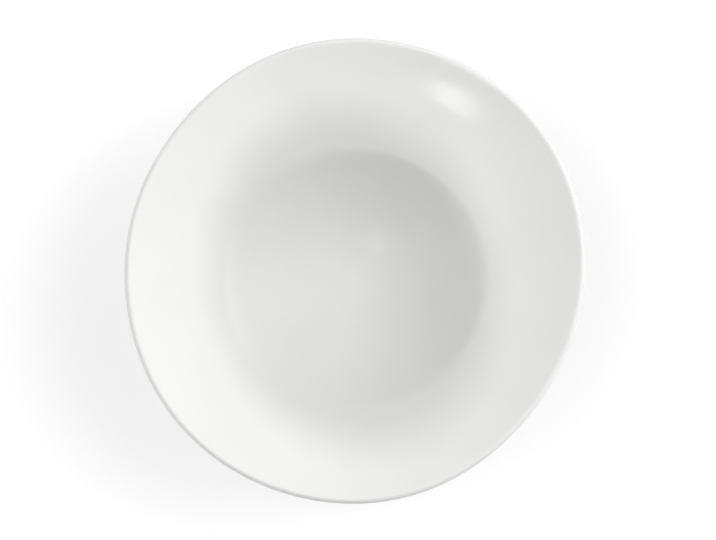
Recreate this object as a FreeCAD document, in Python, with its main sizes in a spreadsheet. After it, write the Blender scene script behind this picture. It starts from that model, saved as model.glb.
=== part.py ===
# Pasta bowl: a wide-rimmed, hand-formed bowl of fired clay under a white glaze.
#
# Frame: millimetres, +Z up, the table at z = 0, the origin under the middle of the rim.
# +Y points away from someone who looks down into the bowl with +X to their right.
#
# The bowl is four pieces: the clay shell, the foot ring luted under it, the glaze coat over
# the shell and the foot's flank, and the patch of glaze that closes the recess in the foot.

import FreeCAD
import Part
import Sketcher
import os
from collections import namedtuple
from math import cos, pi, radians, sin, sqrt
from types import SimpleNamespace

from FreeCAD import Vector

SIZES = (
    # alias, value in mm, or in degrees for an azimuth, what it measures
    ("rim_radius", 139.4, "mean radius of the clay at the outer edge of the lip"),
    ("rim_rise", 19.0, "height of the lip above the shoulder"),
    ("rim_sag", 3.2, "how far the middle of the rim hangs below a straight line"),
    ("well_radius", 79.0, "radius of the shoulder, where the well turns into the rim"),
    ("well_depth", 31.0, "depth of the well below the shoulder"),
    ("well_offset", 4.5, "how far the well and the foot lie off the middle of the rim"),
    ("base_clearance", 5.0, "height of the middle of the underside above the table"),
    ("base_thickness", 5.5, "clay in the middle of the base"),
    ("foot_wall", 8.0, "clay over the foot ring, where the shell is thickest"),
    ("lip_thickness", 4.2, "clay at the lip"),
    ("foot_radius", 46.0, "outer radius of the foot ring where it stands"),
    ("foot_width", 6.0, "width of the foot ring where it stands"),
    ("foot_splay", 1.2, "how much each flank of the foot ring leans out towards the shell"),
    ("foot_edge", 1.0, "rounding of the two edges that the foot stands between"),
    ("glaze_thickness", 0.4, "glaze on the shell and the foot"),
    ("wiped_height", 2.0, "bare band of the foot above the table, wiped clean of glaze"),
    ("oval", 2.06, "stretch of the lip along its long axis"),
    ("oval_azimuth", 60.0, "direction of the long axis"),
    ("three_lobe", 0.34, "threefold unevenness of the lip"),
    ("three_lobe_azimuth", 26.0, "direction of its first lobe"),
    ("four_lobe", 0.38, "fourfold unevenness of the lip"),
    ("four_lobe_azimuth", 19.0, "direction of its first lobe"),
    ("six_lobe", 0.27, "sixfold unevenness of the lip"),
    ("six_lobe_azimuth", -15.0, "direction of its first lobe"),
    ("rim_droop", 0.8, "drop of the lip at the long axis and its lift at the short one"),
)

# The skin of the shell is a cubic spline surface. Its control net has this many columns
# around the bowl, and rows that go from the middle of the floor over the lip to the underside.
COLUMNS = 48

# Flat disc that closes the skin on the axis, inside the bowl and under it.
AXIS_DISC = 6.0

# Rows of the control net, as shares of the way from the axis to the shoulder and from the
# shoulder to the lip. They lie closer together where the profile bends more.
WELL_ROWS = (0.16, 0.28, 0.42, 0.56, 0.70, 0.82, 0.92, 1.0)
RIM_ROWS = (0.09, 0.22, 0.40, 0.60, 0.80, 0.93)

# A cubic spline passes this far out towards the corner of a square end of its control net.
CORNER_REACH = 5 / 6

# A row of the control net: radius and height on the well's axis, and how much of the lip's
# unevenness it takes, from 0 in the well to 1 at the lip.
Row = namedtuple("Row", "radius height share")


def add_sheet(doc):
    # Driving dimensions, one to a row, with the alias that the pieces are bound to.
    sheet = doc.addObject("Spreadsheet::Sheet", "Sizes")
    for line, (alias, value, meaning) in enumerate(SIZES, start=1):
        sheet.set(f"A{line}", meaning)
        sheet.set(f"B{line}", str(value))
        sheet.setAlias(f"B{line}", alias)
    doc.recompute()
    return sheet


def read_sizes(sheet):
    return SimpleNamespace(**{alias: float(sheet.get(alias)) for alias, _, _ in SIZES})


def rim_share(size, radius):
    # 0 in the well and at the shoulder, 1 at the lip.
    return max(0.0, (radius - size.well_radius) / (size.rim_radius - size.well_radius))


def inside_height(size, radius):
    # The well is a paraboloid, and the rim is dished between the shoulder and the lip.
    floor = size.base_clearance + size.base_thickness
    if radius < size.well_radius:
        return floor + size.well_depth * (radius / size.well_radius) ** 2
    share = rim_share(size, radius)
    sag = 4 * size.rim_sag * share * (1 - share)
    return floor + size.well_depth + size.rim_rise * share - sag


def inside_slope(size, radius):
    reach = 1.0
    rise = inside_height(size, radius + reach) - inside_height(size, radius - reach)
    return rise / (2 * reach)


def wall_thickness(size, radius):
    # Thickest over the foot, thinning evenly to the middle of the base and to the lip.
    if radius < size.foot_radius:
        share = radius / size.foot_radius
        return size.base_thickness + share * (size.foot_wall - size.base_thickness)
    share = (radius - size.foot_radius) / (size.rim_radius - size.foot_radius)
    return size.foot_wall + share * (size.lip_thickness - size.foot_wall)


def row_at(size, radius, depth):
    # A row at some depth under the eating surface, measured square to it.
    slope = inside_slope(size, radius)
    length = sqrt(1 + slope ** 2)
    share = rim_share(size, radius)
    blend = share ** 2 * (3 - 2 * share)
    return Row(radius + depth * slope / length,
               inside_height(size, radius) - depth / length,
               blend)


def lip_rows(size, coat):
    # The square end of the control net that the skin rounds off into the lip, inside first.
    slope = inside_slope(size, size.rim_radius)
    along = Vector(1, slope, 0).normalize()
    across = Vector(slope, -1, 0).normalize()
    reach = along * (size.lip_thickness / 2)
    outermost = (reach + across * size.lip_thickness) * CORNER_REACH
    start_radius = size.rim_radius - outermost.x
    start = Vector(start_radius, inside_height(size, start_radius), 0)
    end = start + reach + along * coat
    corners = (start - across * coat,
               end - across * coat,
               end + across * (size.lip_thickness + coat),
               start + across * (size.lip_thickness + coat))
    return [Row(corner.x, corner.y, 1.0) for corner in corners]


def row_radii(size):
    well = [share * size.well_radius for share in WELL_ROWS]
    width = size.rim_radius - size.well_radius
    return well + [size.well_radius + share * width for share in RIM_ROWS]


def inside_rows(size, coat):
    floor = inside_height(size, 0) + coat
    flat = [Row(AXIS_DISC, floor, 0.0), Row(1.5 * AXIS_DISC, floor, 0.0)]
    lip_start = lip_rows(size, coat)[0].radius
    radii = [radius for radius in row_radii(size) if radius < lip_start - size.lip_thickness / 2]
    return flat + [row_at(size, radius, -coat) for radius in radii]


def outside_rows(size, coat, inner_limit):
    # From the lip in to the limit, a wall's thickness below the eating surface.
    lip_start = lip_rows(size, coat)[0].radius
    rows = [row_at(size, radius, wall_thickness(size, radius) + coat)
            for radius in row_radii(size) if radius < lip_start - size.lip_thickness / 2]
    return [row for row in reversed(rows) if row.radius > inner_limit]


def underside_height(size, radius):
    # Under the foot the shell follows the well, so a short search finds its height.
    above = radius
    for _ in range(8):
        row = row_at(size, above, wall_thickness(size, above))
        above += radius - row.radius
    return row.height


def unevenness(size, azimuth):
    lobes = ((2, size.oval, size.oval_azimuth),
             (3, size.three_lobe, size.three_lobe_azimuth),
             (4, size.four_lobe, size.four_lobe_azimuth),
             (6, size.six_lobe, size.six_lobe_azimuth))
    return sum(swell * cos(count * (azimuth - radians(first)))
               for count, swell, first in lobes)


def net_point(size, row, azimuth):
    # The lip is uneven and centred on the frame, the well is round and off its middle.
    step = 2 * pi / COLUMNS
    pull = 3 / (2 + cos(step))
    radius = pull * (row.radius + row.share * unevenness(size, azimuth))
    middle = -size.well_offset * (1 - row.share)
    droop = size.rim_droop * row.share * cos(2 * (azimuth - radians(size.oval_azimuth)))
    return Vector(radius * cos(azimuth), middle + radius * sin(azimuth), row.height - droop)


def skin_solid(size, rows):
    # One spline surface around the bowl, clamped at its two flat ends and closed by discs.
    azimuths = [2 * pi * column / COLUMNS for column in range(COLUMNS)]
    net = [[net_point(size, row, azimuth) for azimuth in azimuths] for row in rows]
    row_knots = list(range(len(rows) - 2))
    row_mults = [4] + [1] * (len(row_knots) - 2) + [4]
    ring_knots = list(range(COLUMNS + 1))
    ring_mults = [1] * len(ring_knots)
    surface = Part.BSplineSurface()
    surface.buildFromPolesMultsKnots(
        net, row_mults, ring_mults, row_knots, ring_knots, False, True, 3, 3)
    skin = surface.toShape()
    rings = [edge for edge in skin.Edges if edge.isClosed()]
    discs = [Part.Face(Part.Wire([ring])) for ring in rings]
    closed = Part.Compound([skin] + discs)
    closed.sewShape()
    return Part.Solid(closed.Shells[0])


def add_clay_body(doc, size):
    underside = size.base_clearance
    rows = inside_rows(size, 0) + lip_rows(size, 0) + outside_rows(size, 0, 1.5 * AXIS_DISC)
    rows += [Row(1.5 * AXIS_DISC, underside, 0.0), Row(AXIS_DISC, underside, 0.0)]
    body = doc.addObject("Part::Feature", "ClayBody")
    body.Label = "clay_body"
    body.Shape = skin_solid(size, rows)
    return body


def add_glaze_envelope(doc, size):
    # The outer surface of the glaze, closed by a flat disc where the foot is wiped clean.
    # Its corner above the foot is rounded off by the skin, as glaze pools there.
    coat = size.glaze_thickness
    corner_radius = size.foot_radius + size.foot_splay + coat
    corner_height = underside_height(size, corner_radius) - coat
    rows = inside_rows(size, coat) + lip_rows(size, coat)
    rows += outside_rows(size, coat, corner_radius + 4 * coat)
    for share in (1.0, 0.6, 0.3, 0.0):
        height = size.wiped_height + share * (corner_height - size.wiped_height)
        lean = size.foot_splay * height / corner_height
        rows.append(Row(size.foot_radius + coat + lean, height, 0.0))
    envelope = doc.addObject("Part::Feature", "GlazeEnvelope")
    envelope.Label = "glaze_envelope"
    envelope.Shape = skin_solid(size, rows)
    return envelope


def origin_plane(body, role):
    return next(plane for plane in body.Origin.OriginFeatures if plane.Role == role)


def add_foot_sketch(body):
    # Half section of the foot ring: it stands on its lower side, and its upper side lies
    # half way into the shell, which trims it later.
    sketch = body.newObject("Sketcher::SketchObject", "FootSection")
    sketch.AttachmentSupport = [(origin_plane(body, "XZ_Plane"), "")]
    sketch.MapMode = "FlatFace"
    corners = (Vector(40, 0, 0), Vector(46, 0, 0), Vector(47, 18, 0), Vector(39, 14, 0))
    lower, outer, upper, inner = range(4)
    for side in range(4):
        line = Part.LineSegment(corners[side], corners[(side + 1) % 4])
        sketch.addGeometry(line, False)
    for side in range(4):
        sketch.addConstraint(
            Sketcher.Constraint("Coincident", side, 2, (side + 1) % 4, 1))
    sketch.addConstraint(Sketcher.Constraint("PointOnObject", lower, 1, -1))
    sketch.addConstraint(Sketcher.Constraint("Horizontal", lower))

    into_shell = ("Sizes.base_clearance + Sizes.base_thickness - Sizes.foot_wall / 2"
                  " + Sizes.well_depth * pow({radius} / Sizes.well_radius; 2)")
    inner_radius = "(Sizes.foot_radius - Sizes.foot_width - Sizes.foot_splay)"
    outer_radius = "(Sizes.foot_radius + Sizes.foot_splay)"
    bound = (
        ("DistanceX", lower, 2, "standing_radius", "Sizes.foot_radius"),
        ("DistanceX", lower, 1, "inner_standing_radius", "Sizes.foot_radius - Sizes.foot_width"),
        ("DistanceX", upper, 1, "outer_top_radius", outer_radius),
        ("DistanceX", upper, 2, "inner_top_radius", inner_radius),
        ("DistanceY", upper, 1, "outer_top_height", into_shell.format(radius=outer_radius)),
        ("DistanceY", upper, 2, "inner_top_height", into_shell.format(radius=inner_radius)),
    )
    for kind, line, end, name, expression in bound:
        point = corners[line] if end == 1 else corners[(line + 1) % 4]
        value = point.x if kind == "DistanceX" else point.y
        index = sketch.addConstraint(Sketcher.Constraint(kind, -1, 1, line, end, value))
        sketch.renameConstraint(index, name)
        sketch.setExpression(f"Constraints.{name}", expression)
    return sketch


def add_foot_blank(doc):
    # The foot ring before it is trimmed to the shell.
    body = doc.addObject("PartDesign::Body", "FootBlank")
    body.Label = "foot_blank"
    sketch = add_foot_sketch(body)
    ring = body.newObject("PartDesign::Revolution", "FootTurned")
    ring.Profile = sketch
    ring.ReferenceAxis = (sketch, ["V_Axis"])
    ring.Angle = 360
    doc.recompute()
    standing = [f"Edge{index}" for index, edge in enumerate(ring.Shape.Edges, start=1)
                if edge.BoundBox.ZMax < 1e-6]
    rounded = body.newObject("PartDesign::Fillet", "FootRounded")
    rounded.Base = (ring, standing)
    rounded.setExpression("Radius", "Sizes.foot_edge")
    body.Tip = rounded
    body.setExpression("Placement.Base.y", "-Sizes.well_offset")
    return body


def add_foot_ring(doc, clay_body, foot_blank):
    # The ring's upper side takes the shape of the underside that it is luted to.
    ring = doc.addObject("Part::Cut", "FootRing")
    ring.Label = "foot_ring"
    ring.Base = foot_blank
    ring.Tool = clay_body
    return ring


def add_glaze(doc, size, clay_body, foot_blank):
    # What the bare bowl leaves of the envelope is the coat and, inside the foot, a plug.
    envelope = add_glaze_envelope(doc, size)
    bare_bowl = doc.addObject("Part::Fuse", "BareBowl")
    bare_bowl.Base = clay_body
    bare_bowl.Tool = foot_blank
    left = doc.addObject("Part::Cut", "EnvelopeLeft")
    left.Base = envelope
    left.Tool = bare_bowl
    doc.recompute()
    plug_shape, coat_shape = sorted(left.Shape.Solids, key=lambda solid: solid.Area)

    coat = doc.addObject("Part::Feature", "GlazeCoat")
    coat.Label = "glaze_coat"
    coat.Shape = coat_shape

    # The patch is the part of the plug within a glaze's thickness of the underside.
    plug = doc.addObject("Part::Feature", "RecessPlug")
    plug.Label = "recess_plug"
    plug.Shape = plug_shape
    lowered = doc.addObject("Part::Feature", "LoweredShell")
    lowered.Label = "lowered_shell"
    lowered.Shape = clay_body.Shape
    lowered.Placement.Base.z = -size.glaze_thickness
    patch = doc.addObject("Part::Common", "FootRecessGlaze")
    patch.Label = "foot_recess_glaze"
    patch.Base = plug
    patch.Tool = lowered
    return coat, patch


def check(doc, pieces):
    failed = [item.Label for item in doc.Objects
              if "Invalid" in item.State or "Error" in item.State]
    failed += [piece.Label for piece in pieces
               if piece.Shape.isNull() or not piece.Shape.isValid()
               or len(piece.Shape.Solids) != 1]
    if failed:
        raise RuntimeError("these did not build: " + ", ".join(failed))


def write(pieces):
    os.makedirs("parts", exist_ok=True)
    for piece in pieces:
        box = piece.Shape.BoundBox
        piece.Shape.exportStep(f"parts/{piece.Label}.step")
        print(f"{piece.Label}: {box.XLength:.2f} x {box.YLength:.2f} x {box.ZLength:.2f} mm, "
              f"{piece.Shape.Volume / 1000:.1f} cm3")


def main():
    doc = FreeCAD.newDocument("PastaBowl")
    size = read_sizes(add_sheet(doc))
    clay_body = add_clay_body(doc, size)
    foot_blank = add_foot_blank(doc)
    foot_ring = add_foot_ring(doc, clay_body, foot_blank)
    glaze_coat, foot_recess_glaze = add_glaze(doc, size, clay_body, foot_blank)
    doc.recompute()
    pieces = (clay_body, foot_ring, glaze_coat, foot_recess_glaze)
    check(doc, pieces)
    write(pieces)


main()
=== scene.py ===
from math import atan2, cos, pi, radians, sin, sqrt

import bmesh
import bpy
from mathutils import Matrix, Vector, noise


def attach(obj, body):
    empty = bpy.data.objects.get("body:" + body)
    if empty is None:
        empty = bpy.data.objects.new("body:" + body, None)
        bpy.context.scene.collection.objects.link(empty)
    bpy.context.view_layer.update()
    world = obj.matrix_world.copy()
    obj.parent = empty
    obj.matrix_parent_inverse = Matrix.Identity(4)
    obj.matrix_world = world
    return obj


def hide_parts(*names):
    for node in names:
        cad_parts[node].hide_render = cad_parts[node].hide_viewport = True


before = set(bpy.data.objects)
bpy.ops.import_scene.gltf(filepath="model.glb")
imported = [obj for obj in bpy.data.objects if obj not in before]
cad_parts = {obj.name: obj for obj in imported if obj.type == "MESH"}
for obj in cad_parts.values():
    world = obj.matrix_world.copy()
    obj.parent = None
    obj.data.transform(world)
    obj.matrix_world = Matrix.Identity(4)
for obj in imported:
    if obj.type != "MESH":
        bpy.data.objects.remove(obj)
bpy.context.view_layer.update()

# A white glazed pasta bowl, formed by hand, seen from almost straight above.
# Metres, +Z up, the table at z = 0, the origin under the middle of the lip.

mm = 0.001


def hexColor(text):
    # sRGB hex to the linear RGBA that the shader sockets take
    channels = [int(text[i:i + 2], 16) / 255 for i in (1, 3, 5)]
    linear = [c / 12.92 if c <= 0.04045 else ((c + 0.055) / 1.055) ** 2.4 for c in channels]
    return (*linear, 1.0)


def addNode(tree, kind, settings=None, links=None):
    # settings go to the node's own properties or its sockets, and links to its sockets from another
    # node's socket or its first output
    node = tree.nodes.new(kind)
    for name, value in (settings or {}).items():
        if isinstance(name, str) and hasattr(node, name):
            setattr(node, name, value)
        else:
            node.inputs[name].default_value = value
    for name, source in (links or {}).items():
        tree.links.new(source.outputs[0] if hasattr(source, "outputs") else source, node.inputs[name])
    return node


def newMaterial(name):
    material = bpy.data.materials.new(name)
    material.use_nodes = True
    material.node_tree.nodes.clear()
    return material, material.node_tree


# sizes of the bowl, the same as the solids have
bowl = {
    "rimRadius": 139.4 * mm,        # clay, at the outer edge of the lip
    "rimRise": 19.0 * mm,           # lip above the shoulder
    "rimSag": 3.2 * mm,             # the rim's middle under a straight line
    "wellRadius": 79.0 * mm,        # where the well turns into the rim
    "wellDepth": 31.0 * mm,
    "wellOffset": 4.5 * mm,         # well and foot off the middle of the lip
    "floorHeight": 10.5 * mm,       # clay in the middle of the well, above the table
    "baseThickness": 5.5 * mm,
    "footWall": 8.0 * mm,           # clay over the foot
    "lipThickness": 4.2 * mm,
    "footRadius": 46.0 * mm,
    "footSplay": 1.2 * mm,
    "wipedHeight": 2.0 * mm,        # bare band above the table
    "glaze": 0.4 * mm,              # from the clay to the outside of the coat
    "coat": 0.35 * mm,              # thickness of the coat itself, which clears the clay by the rest
    "lobes": (                      # of the lip: how many, how high, and the azimuth of the first
        (2, 2.06 * mm, 60),
        (3, 0.34 * mm, 26),
        (4, 0.38 * mm, 19),
        (6, 0.27 * mm, -15),
    ),
    "droop": 0.8 * mm,              # the lip's drop at its long axis
    "droopAzimuth": 60,
    "columns": 48,                  # of the cage that the skin is subdivided from
    "refine": 2,                    # levels of that subdivision
}

# rows of the cage, as shares of the way to the shoulder, from there to the lip, and down the foot
wellRows = (0.07, 0.16, 0.28, 0.42, 0.56, 0.70, 0.82, 0.92, 1.0)
rimRows = (0.09, 0.22, 0.40, 0.60, 0.80, 0.93)
footRows = (1.0, 0.6, 0.3, 0.0)
cornerReach = 5 / 6                 # how far a subdivided surface goes out to a square corner


def rimShare(radius):
    # 0 in the well, 1 at the lip
    return max(0.0, (radius - bowl["wellRadius"]) / (bowl["rimRadius"] - bowl["wellRadius"]))


def insideHeight(radius):
    # the well is a paraboloid, the rim is dished between the shoulder and the lip
    if radius < bowl["wellRadius"]:
        return bowl["floorHeight"] + bowl["wellDepth"] * (radius / bowl["wellRadius"]) ** 2
    share = rimShare(radius)
    sag = 4 * bowl["rimSag"] * share * (1 - share)
    return bowl["floorHeight"] + bowl["wellDepth"] + bowl["rimRise"] * share - sag


def insideSlope(radius):
    return (insideHeight(radius + mm) - insideHeight(radius - mm)) / (2 * mm)


def wallThickness(radius):
    if radius < bowl["footRadius"]:
        share = radius / bowl["footRadius"]
        return bowl["baseThickness"] + share * (bowl["footWall"] - bowl["baseThickness"])
    share = (radius - bowl["footRadius"]) / (bowl["rimRadius"] - bowl["footRadius"])
    return bowl["footWall"] + share * (bowl["lipThickness"] - bowl["footWall"])


def rowAt(radius, depth):
    # point of the profile at some depth under the eating surface, square to it
    slope = insideSlope(radius)
    length = sqrt(1 + slope ** 2)
    return Vector((radius + depth * slope / length, 0, insideHeight(radius) - depth / length))


def lipRows(coat):
    # square end of the profile, which the subdivision rounds off into the lip
    slope = insideSlope(bowl["rimRadius"])
    along = Vector((1, 0, slope)).normalized()
    across = Vector((slope, 0, -1)).normalized()
    thickness = bowl["lipThickness"]
    outermost = (along * thickness / 2 + across * thickness) * cornerReach
    startRadius = bowl["rimRadius"] - outermost.x
    start = Vector((startRadius, 0, insideHeight(startRadius)))
    end = start + along * (thickness / 2 + coat)
    return [start - across * coat, end - across * coat,
            end + across * (thickness + coat), start + across * (thickness + coat)]


def undersideHeight(radius):
    # closes in on the point of the eating surface whose wall ends under this radius
    above = radius
    for _ in range(8):
        row = rowAt(above, wallThickness(above))
        above += radius - row.x
    return row.z


def glazeProfile():
    # from the middle of the floor over the lip and down the foot to the wiped band
    coat = bowl["glaze"]
    lip = lipRows(coat)
    width = bowl["rimRadius"] - bowl["wellRadius"]
    radii = [share * bowl["wellRadius"] for share in wellRows]
    radii += [bowl["wellRadius"] + share * width for share in rimRows]
    radii = [radius for radius in radii if radius < lip[0].x - bowl["lipThickness"] / 2]
    cornerRadius = bowl["footRadius"] + bowl["footSplay"] + coat
    cornerHeight = undersideHeight(cornerRadius) - coat
    profile = [Vector((0, 0, bowl["floorHeight"] + coat))]
    profile += [rowAt(radius, -coat) for radius in radii] + lip
    below = [rowAt(radius, wallThickness(radius) + coat) for radius in reversed(radii)]
    profile += [row for row in below if row.x > cornerRadius + 4 * coat]
    for share in footRows:
        height = bowl["wipedHeight"] + share * (cornerHeight - bowl["wipedHeight"])
        lean = bowl["footSplay"] * height / cornerHeight
        profile.append(Vector((bowl["footRadius"] + coat + lean, 0, height)))
    return profile


def unevenness(azimuth):
    return sum(swell * cos(count * (azimuth - radians(first))) for count, swell, first in bowl["lobes"])


def formByHand(mesh):
    # pulls the turned cage oval and uneven towards the lip, and moves the well off its middle
    step = 2 * pi / bowl["columns"]
    pull = 3 / (2 + cos(step))      # a subdivided ring shrinks by this much
    for vert in mesh.verts:
        radius = Vector((vert.co.x, vert.co.y)).length
        azimuth = atan2(vert.co.y, vert.co.x)
        share = min(1.0, rimShare(radius))
        share = share ** 2 * (3 - 2 * share)
        radius = pull * (radius + share * unevenness(azimuth))
        droop = bowl["droop"] * share * cos(2 * (azimuth - radians(bowl["droopAzimuth"])))
        vert.co.x = radius * cos(azimuth)
        vert.co.y = radius * sin(azimuth) - bowl["wellOffset"] * (1 - share)
        vert.co.z -= droop


def turnProfile(name, profile, columns):
    # spins the profile into a cage and forms that by hand
    mesh = bmesh.new()
    verts = [mesh.verts.new(point) for point in profile]
    edges = [mesh.edges.new(pair) for pair in zip(verts, verts[1:])]
    bmesh.ops.spin(mesh, geom=verts + edges, cent=(0, 0, 0), axis=(0, 0, 1), angle=2 * pi,
                   steps=columns, use_merge=True)
    bmesh.ops.remove_doubles(mesh, verts=mesh.verts, dist=0.01 * mm)
    formByHand(mesh)
    bmesh.ops.recalc_face_normals(mesh, faces=mesh.faces)
    data = bpy.data.meshes.new(name)
    mesh.to_mesh(data)
    mesh.free()
    piece = bpy.data.objects.new(name, data)
    bpy.context.collection.objects.link(piece)
    return piece


def applyModifiers(piece):
    # bakes them into the mesh
    depsgraph = bpy.context.evaluated_depsgraph_get()
    finished = bpy.data.meshes.new_from_object(piece.evaluated_get(depsgraph))
    piece.modifiers.clear()
    piece.data = finished


def subdivideSkin(piece, levels):
    subdivide = piece.modifiers.new("skin", "SUBSURF")
    subdivide.levels = levels
    subdivide.render_levels = levels
    applyModifiers(piece)


handMarks = {
    "swell": (0.16 * mm, 34 * mm),      # height and length of the broad swells left by the hands
    "ripple": (0.05 * mm, 13 * mm),     # and of the smaller ones between them
}


def addHandMarks(piece):
    # only ever outwards, so that the glaze never dips into the clay
    skin = piece.data
    normals = [vert.normal.copy() for vert in skin.vertices]
    for vert, normal in zip(skin.vertices, normals):
        for height, length in handMarks.values():
            level = 0.5 + 0.5 * noise.noise(vert.co / length, noise_basis="PERLIN_ORIGINAL")
            vert.co += normal * height * level


def giveThickness(piece, thickness):
    # inwards, with the open edge at the foot closed
    shell = piece.modifiers.new("coat", "SOLIDIFY")
    shell.thickness = thickness
    shell.offset = -1
    shell.use_rim = True
    shell.use_even_offset = True
    applyModifiers(piece)


glazeCoat = turnProfile("glazeCoat", glazeProfile(), bowl["columns"])
subdivideSkin(glazeCoat, bowl["refine"])
addHandMarks(glazeCoat)
giveThickness(glazeCoat, bowl["coat"])
glazeCoat.data.shade_smooth()
print("glaze coat:", len(glazeCoat.data.vertices), "points")


camera = {
    "millimetresPerPixel": 0.6024,  # at the height of the lip
    "frameWidth": 716,              # pixels
    "sensorWidth": 36,
    "distance": 2.4,                # from the lip
    "elevation": 85,                # degrees over the table
    "aim": (2.0 * mm, -0.8 * mm),   # what the middle of the picture looks at
}


def addCamera():
    data = bpy.data.cameras.new("camera")
    frameWidth = camera["frameWidth"] * camera["millimetresPerPixel"] * mm
    data.sensor_width = camera["sensorWidth"]
    data.lens = camera["sensorWidth"] * camera["distance"] / frameWidth
    data.clip_start = 0.01
    data.clip_end = 20
    eye = bpy.data.objects.new("camera", data)
    bpy.context.collection.objects.link(eye)
    tilt = radians(90 - camera["elevation"])
    lipHeight = insideHeight(bowl["rimRadius"])
    target = Vector((*camera["aim"], lipHeight))
    eye.location = target + camera["distance"] * Vector((0, -sin(tilt), cos(tilt)))
    eye.rotation_euler = (tilt, 0, 0)
    bpy.context.scene.camera = eye


whiteRays = ("Is Camera Ray", "Is Glossy Ray", "Is Transmission Ray")


def seenWhite(tree):
    # 1 where the camera, the gloss or a clear thing looks, 0 where light is gathered
    path = addNode(tree, "ShaderNodeLightPath")
    seen = path.outputs[whiteRays[0]]
    for ray in whiteRays[1:]:
        seen = addNode(tree, "ShaderNodeMath", {"operation": "MAXIMUM"}, {0: seen, 1: path.outputs[ray]})
    return seen


board = {
    "halfWidth": 4.0,
    "color": "#CFCFCF",             # pale enough to keep the bowl's shadow under the glow
    "glow": 0.5,
}


def addFloor():
    floor = bpy.data.objects.new("floor", bpy.data.meshes.new("floor"))
    mesh = bmesh.new()
    bmesh.ops.create_grid(mesh, x_segments=1, y_segments=1, size=board["halfWidth"])
    mesh.to_mesh(floor.data)
    mesh.free()
    bpy.context.collection.objects.link(floor)
    # matt painted board: a faint soft shadow on plain white
    material, tree = newMaterial("whiteBoard")
    lift = addNode(tree, "ShaderNodeMath", {"operation": "MULTIPLY", 1: board["glow"]}, {0: seenWhite(tree)})
    diffuse = addNode(tree, "ShaderNodeBsdfDiffuse", {"Color": hexColor(board["color"])})
    glow = addNode(tree, "ShaderNodeEmission", {"Color": (1, 1, 1, 1)}, {"Strength": lift})
    both = addNode(tree, "ShaderNodeAddShader", None, {0: diffuse, 1: glow})
    addNode(tree, "ShaderNodeOutputMaterial", None, {"Surface": both})
    floor.data.materials.append(material)


studio = {
    "fill": 0.2,                    # even light from all round
    "panels": (                     # azimuth, elevation and half width in degrees, and brightness
        (15, 29, 16, 5.8),
        (178, 43, 19, 2.45),
    ),
    "lamp": (236, 64),              # azimuth and elevation of the small lamp that glints on the rim
    "lampDistance": 1.59,           # metres
    "lampWidth": 0.24,
    "lampPower": 0.6,               # watts
}


def towards(azimuth, elevation):
    # unit vector, the azimuth from +X over +Y
    across = cos(radians(elevation))
    return Vector((across * cos(radians(azimuth)), across * sin(radians(azimuth)), sin(radians(elevation))))


def addWorld():
    # an even fill with broad soft panels in it, and plain white wherever it is looked at
    world = bpy.data.worlds.new("studio")
    bpy.context.scene.world = world
    world.use_nodes = True
    tree = world.node_tree
    tree.nodes.clear()
    way = addNode(tree, "ShaderNodeTexCoord").outputs["Generated"]
    light = None
    for azimuth, elevation, halfWidth, brightness in studio["panels"]:
        facing = addNode(tree, "ShaderNodeVectorMath",
                         {"operation": "DOT_PRODUCT", 1: towards(azimuth, elevation)}, {0: way})
        tightness = 1 / radians(halfWidth) ** 2
        fade = addNode(tree, "ShaderNodeMath", {"operation": "MULTIPLY_ADD", 1: tightness, 2: -tightness},
                       {0: facing.outputs["Value"]})
        fade = addNode(tree, "ShaderNodeMath", {"operation": "EXPONENT"}, {0: fade})
        light = addNode(tree, "ShaderNodeMath",
                        {"operation": "MULTIPLY_ADD", 1: brightness, 2: studio["fill"]},
                        {0: fade, 2: light} if light else {0: fade})
    strength = addNode(tree, "ShaderNodeMix", {"data_type": "FLOAT", 3: 1.0}, {0: seenWhite(tree), 2: light})
    background = addNode(tree, "ShaderNodeBackground", {"Color": (1, 1, 1, 1)}, {"Strength": strength})
    addNode(tree, "ShaderNodeOutputWorld", None, {"Surface": background})


def addLamp():
    # round and soft, turned to the bowl
    data = bpy.data.lights.new("lamp", "AREA")
    data.shape = "DISK"
    data.size = studio["lampWidth"]
    data.energy = studio["lampPower"]
    lamp = bpy.data.objects.new("lamp", data)
    way = towards(*studio["lamp"])
    lamp.location = way * studio["lampDistance"]
    lamp.rotation_euler = way.to_track_quat("Z", "Y").to_euler()
    bpy.context.collection.objects.link(lamp)


glaze = {
    "color": "#F1F1F0",
    "paintedShadeColor": "#D8D8D7",         # painted shade: greyer over the well and its steep wall, where shade falls
    "shadeFrom": (-70 * mm, 76 * mm),    # painted shade at half in the middle, full at the steep wall
    "shadeTo": (64 * mm, 100 * mm),  # and gone again past the shoulder
    "oval": (1.25, 105),            # the painted shade is longer by this, along this azimuth
    "shadeEdgeWobble": (30 * mm, 4 * mm),       # length and reach of the ragged wobble along that edge
    "patch": 55 * mm,               # size of the thick and thin places elsewhere
    "patchShare": 0.10,
    "roughness": (0.08, 0.16),      # glassy, with duller breath marks
    "wellAndPatchRoughness": 0.27,          # duller under the painted shade's mask and the patches, so that little is mirrored in the well
    "smear": 22 * mm,
    "peel": (4.0 * mm, 0.022 * mm), # length and height of the orange peel
    "dimple": (1.3 * mm, 0.004 * mm),   # and of the finer one in it
    "pinhole": (26 * mm, 0.35 * mm, 0.12 * mm),     # spacing, radius and depth
    "pinholeFloor": 0.3,            # flat share of that radius
}
noiseEnds = {"From Min": 0.35, "From Max": 0.65}    # most of a noise texture lies between these


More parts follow.
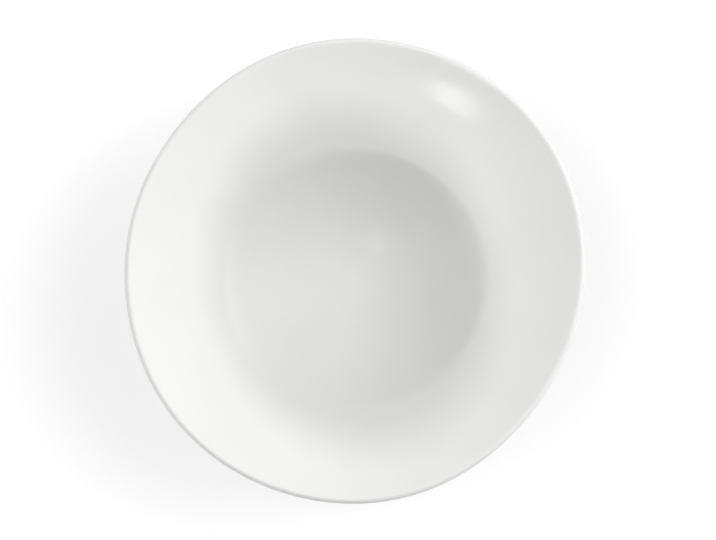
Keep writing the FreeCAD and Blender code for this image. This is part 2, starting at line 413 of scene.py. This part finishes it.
def whiteGlaze():
    # opaque white glaze, poured and fired glossy: soft wavy reflections with ragged edges,
    # painted shade that greys the well and its steep wall, random greyer patches, and a few pinholes
    material, tree = newMaterial("pouredWhiteGlaze")
    place = addNode(tree, "ShaderNodeTexCoord").outputs["Object"]
    stretch, azimuth = glaze["oval"]
    flat = addNode(tree, "ShaderNodeMapping", {     # the last scale takes the height out of the distance
        "vector_type": "TEXTURE", "Location": (0, -bowl["wellOffset"], 0),
        "Rotation": (0, 0, radians(azimuth)), "Scale": (stretch, 1, 1000)}, {"Vector": place})
    outwards = addNode(tree, "ShaderNodeVectorMath", {"operation": "LENGTH"}, {0: flat}).outputs["Value"]
    # painted shade from here on: the well greyed towards its steep wall, where shade falls, with a ragged outer
    # edge
    length, reach = glaze["shadeEdgeWobble"]
    edgeWobble = addNode(tree, "ShaderNodeTexNoise", {"Scale": 1 / length, "Detail": 4.0}, {"Vector": place})
    edgeWobble = addNode(tree, "ShaderNodeMath", {"operation": "MULTIPLY_ADD", 1: -reach, 2: reach / 2}, {0: edgeWobble})
    ragged = addNode(tree, "ShaderNodeMath", {"operation": "ADD"}, {0: outwards, 1: edgeWobble})
    start, end = glaze["shadeFrom"]
    shadeAndPatches = addNode(tree, "ShaderNodeMapRange", {
        "interpolation_type": "SMOOTHSTEP", "From Min": start, "From Max": end}, {"Value": outwards})
    start, end = glaze["shadeTo"]
    pastShoulder = addNode(tree, "ShaderNodeMapRange", {
        "interpolation_type": "SMOOTHSTEP", "From Min": start, "From Max": end}, {"Value": ragged})
    shadeAndPatches = addNode(tree, "ShaderNodeMath", {"operation": "SUBTRACT", "use_clamp": True}, {0: shadeAndPatches, 1: pastShoulder})
    cloud = addNode(tree, "ShaderNodeTexNoise", {"Scale": 1 / glaze["patch"], "Detail": 3.0}, {"Vector": place})
    cloud = addNode(tree, "ShaderNodeMapRange", {**noiseEnds, "To Max": glaze["patchShare"]}, {"Value": cloud})
    shadeAndPatches = addNode(tree, "ShaderNodeMath", {"operation": "ADD", "use_clamp": True}, {0: shadeAndPatches, 1: cloud})
    # the white glaze mixed to grey by the painted shade and the random patches
    color = addNode(tree, "ShaderNodeMix", {
        "data_type": "RGBA", 6: hexColor(glaze["color"]), 7: hexColor(glaze["paintedShadeColor"])}, {0: shadeAndPatches})
    smear = addNode(tree, "ShaderNodeTexNoise", {"Scale": 1 / glaze["smear"], "Detail": 4.0}, {"Vector": place})
    glassy, dull = glaze["roughness"]
    roughness = addNode(tree, "ShaderNodeMapRange", {**noiseEnds, "To Min": glassy, "To Max": dull},
                        {"Value": smear})
    roughness = addNode(tree, "ShaderNodeMix", {"data_type": "FLOAT", 3: glaze["wellAndPatchRoughness"]},
                        {0: shadeAndPatches, 2: roughness})
    skin = None
    for length, height in (glaze["peel"], glaze["dimple"]):
        bumps = addNode(tree, "ShaderNodeTexNoise", {"Scale": 1 / length, "Detail": 1.0}, {"Vector": place})
        skin = addNode(tree, "ShaderNodeBump", {"Strength": 1.0, "Distance": height},
                       {"Height": bumps, "Normal": skin} if skin else {"Height": bumps})
    spacing, radius, depth = glaze["pinhole"]
    cells = addNode(tree, "ShaderNodeTexVoronoi", {"Scale": 1 / spacing}, {"Vector": place})
    hole = addNode(tree, "ShaderNodeMapRange", {
        "From Min": glaze["pinholeFloor"] * radius / spacing, "From Max": radius / spacing},
        {"Value": cells.outputs["Distance"]})
    skin = addNode(tree, "ShaderNodeBump", {"Strength": 1.0, "Distance": depth},
                   {"Height": hole, "Normal": skin})
    shader = addNode(tree, "ShaderNodeBsdfPrincipled", {"IOR": 1.5},
                     {"Base Color": color.outputs[2], "Roughness": roughness, "Normal": skin})
    addNode(tree, "ShaderNodeOutputMaterial", None, {"Surface": shader})
    return material


clay = {
    "color": "#DDD3C5",
    "darkColor": "#CDBFAC",
    "grog": 0.9 * mm,               # grains in the body; real ones are finer, these show in a picture
    "grogEnds": (0.45, 0.75),       # noise levels where a grain begins and is full
    "patch": 14 * mm,
    "patchShare": 0.5,
    "roughness": (0.62, 0.82),
    "grit": (0.5 * mm, 0.05 * mm),  # length and height
}


def bareClay():
    # pale stoneware, wiped clean and fired unglazed: matt, warm grey and a little gritty
    material, tree = newMaterial("wipedBareClay")
    place = addNode(tree, "ShaderNodeTexCoord").outputs["Object"]
    grains = addNode(tree, "ShaderNodeTexNoise", {"Scale": 1 / clay["grog"], "Detail": 2.0}, {"Vector": place})
    low, high = clay["grogEnds"]
    grains = addNode(tree, "ShaderNodeMapRange", {"From Min": low, "From Max": high}, {"Value": grains})
    patch = addNode(tree, "ShaderNodeTexNoise", {"Scale": 1 / clay["patch"], "Detail": 3.0}, {"Vector": place})
    cloud = addNode(tree, "ShaderNodeMapRange", {**noiseEnds, "To Max": clay["patchShare"]}, {"Value": patch})
    dark = addNode(tree, "ShaderNodeMath", {"operation": "MAXIMUM"}, {0: grains, 1: cloud})
    color = addNode(tree, "ShaderNodeMix", {
        "data_type": "RGBA", 6: hexColor(clay["color"]), 7: hexColor(clay["darkColor"])}, {0: dark})
    smooth, rough = clay["roughness"]
    roughness = addNode(tree, "ShaderNodeMapRange", {**noiseEnds, "To Min": smooth, "To Max": rough},
                        {"Value": patch})
    length, height = clay["grit"]
    grit = addNode(tree, "ShaderNodeTexNoise", {"Scale": 1 / length, "Detail": 2.0}, {"Vector": place})
    skin = addNode(tree, "ShaderNodeBump", {"Strength": 1.0, "Distance": height}, {"Height": grit})
    shader = addNode(tree, "ShaderNodeBsdfPrincipled", {"IOR": 1.5},
                     {"Base Color": color.outputs[2], "Roughness": roughness, "Normal": skin})
    addNode(tree, "ShaderNodeOutputMaterial", None, {"Surface": shader})
    return material


glazeCoat.data.materials.append(whiteGlaze())
wipedClay = bareClay()
finishes = {"clay_body": wipedClay, "foot_ring": wipedClay, "foot_recess_glaze": glazeCoat.data.materials[0]}
for node, finish in finishes.items():
    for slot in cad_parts[node].material_slots:
        slot.material = finish
print("finishes:", len(finishes) + 1, "pieces")

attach(glazeCoat, "root")
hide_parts("glaze_coat")
addCamera()
addFloor()
addWorld()
addLamp()
bpy.context.scene.view_settings.view_transform = "Standard"
print("studio: camera, floor, world and lamp")
